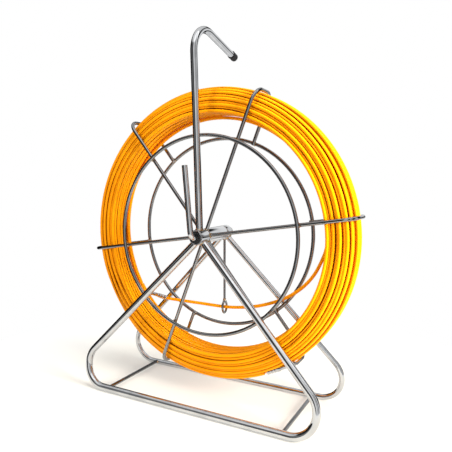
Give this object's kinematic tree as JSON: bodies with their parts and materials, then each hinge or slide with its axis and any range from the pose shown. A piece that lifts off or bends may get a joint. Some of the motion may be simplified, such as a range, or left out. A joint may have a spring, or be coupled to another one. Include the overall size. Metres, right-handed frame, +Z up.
{
  "type": "duct rodder reel",
  "caption": "Coil of orange fibreglass rod in a chromed wire cage that turns on an axle with a crank, on a tube stand with a carrying hook and a guide eye for the rod.",
  "frame": {"origin": "on the floor under the middle of the whole object", "axes": "+Z up, +Y from the crank side to the rear frame along the reel's axle, +X to the right seen from the crank side"},
  "size_m": [0.5478, 0.1928, 0.6732],
  "materials": {
    "chrome": "bright chrome plate",
    "zinc_steel": "satin zinc plate",
    "black_rubber": "matt",
    "black_nylon": "satin",
    "orange_rod": "satin gloss"
  },
  "bodies": {
    "stand": {"stand_front_frame": "chrome", "stand_rear_frame": "chrome", "base_cross_rod_left": "chrome", "base_cross_rod_right": "chrome", "front_bearing_sleeve": "chrome", "rear_bearing_sleeve": "chrome", "front_bush": "black_nylon", "rear_bush": "black_nylon", "hook_post": "chrome", "hook_end_cap": "black_rubber", "guide_eye": "chrome", "rod_lead": "orange_rod", "rod_inner_ferrule": "chrome"},
    "reel": {"reel_hub": "chrome", "crank_axle": "chrome", "cage_wire_1": "chrome", "cage_wire_2": "chrome", "cage_wire_3": "chrome", "cage_wire_4": "chrome", "cage_wire_5": "chrome", "cage_wire_6": "chrome", "cage_ring_front": "chrome", "cage_ring_rear": "chrome", "rod_outer_ferrule": "chrome", "hub_disc_front": "zinc_steel", "hub_disc_rear": "zinc_steel", "front_thrust_washer": "zinc_steel", "rear_thrust_washer": "zinc_steel", "hub_drive_pin": "zinc_steel", "retaining_collar": "zinc_steel", "collar_set_screw": "zinc_steel", "rod_coil": "orange_rod"}
  },
  "joints": [
    {"name": "reel_spin", "type": "hinge", "parent": "stand", "child": "reel", "pos_m": [0, 0.009, 0.304], "axis": [0, 1, 0], "continuous": true}
  ]
}
